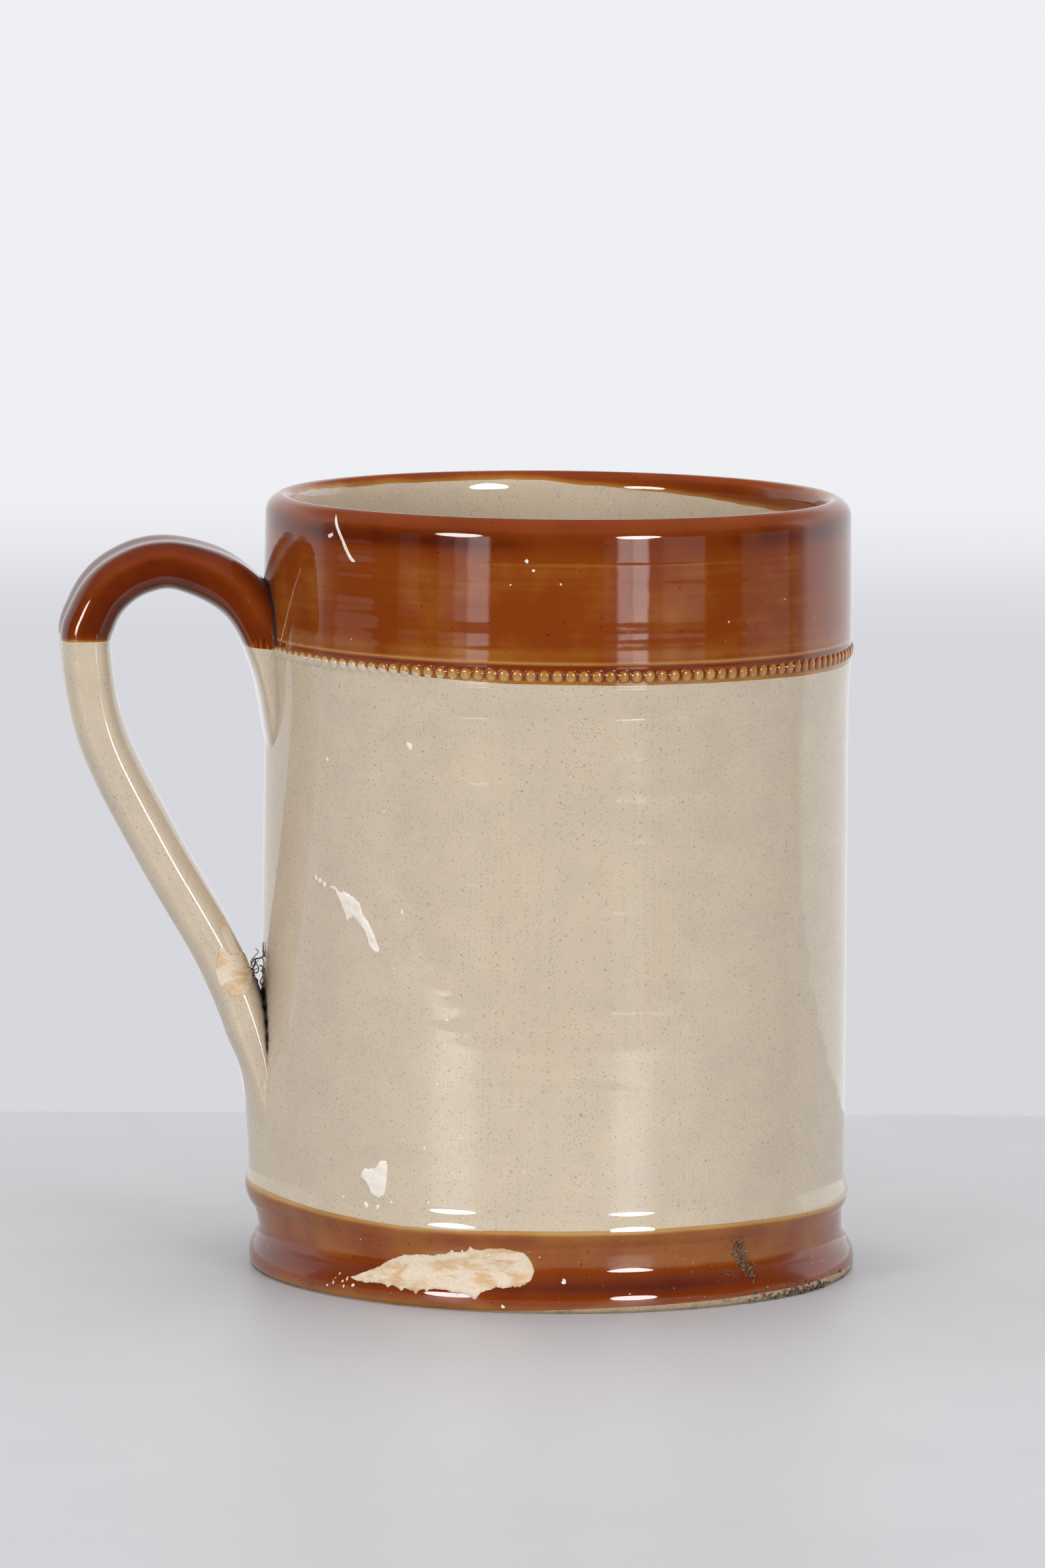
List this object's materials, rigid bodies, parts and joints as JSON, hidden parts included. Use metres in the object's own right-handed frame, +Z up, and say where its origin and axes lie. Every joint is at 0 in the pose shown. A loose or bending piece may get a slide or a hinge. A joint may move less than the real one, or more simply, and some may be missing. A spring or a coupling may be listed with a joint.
{
  "type": "shaving mug",
  "caption": "Tall straight-sided stoneware mug with a beaded dark collar, cream wall, moulded dark foot and an arched strap handle.",
  "frame": {"origin": "centre of the flat resting base, on the mug's turning axis", "axes": "+Z up along the turning axis, out of the mouth; the handle stands out along -X; +Y completes the right-handed frame"},
  "size_m": [0.1238, 0.094, 0.12],
  "materials": {
    "bare_clay": "matte",
    "handle_clay": "matte",
    "slip": "matte",
    "brown_glaze": "gloss",
    "cream_glaze": "gloss",
    "dry_filler": "matte"
  },
  "bodies": {
    "root": {"thrown_body": "bare_clay", "pulled_handle": "handle_clay", "upper_lute": "slip", "lower_lute": "slip", "lip_dip_glaze": "brown_glaze", "foot_glaze_band": "brown_glaze", "wall_glaze": "cream_glaze", "liner_glaze": "cream_glaze", "handle_dip_glaze": "brown_glaze", "handle_limb_glaze": "cream_glaze", "root_fillet_glaze": "cream_glaze", "foot_filler_smear": "dry_filler", "wall_filler_streak": "dry_filler", "low_wall_filler_flake": "dry_filler", "handle_filler_smear": "dry_filler"}
  },
  "joints": []
}
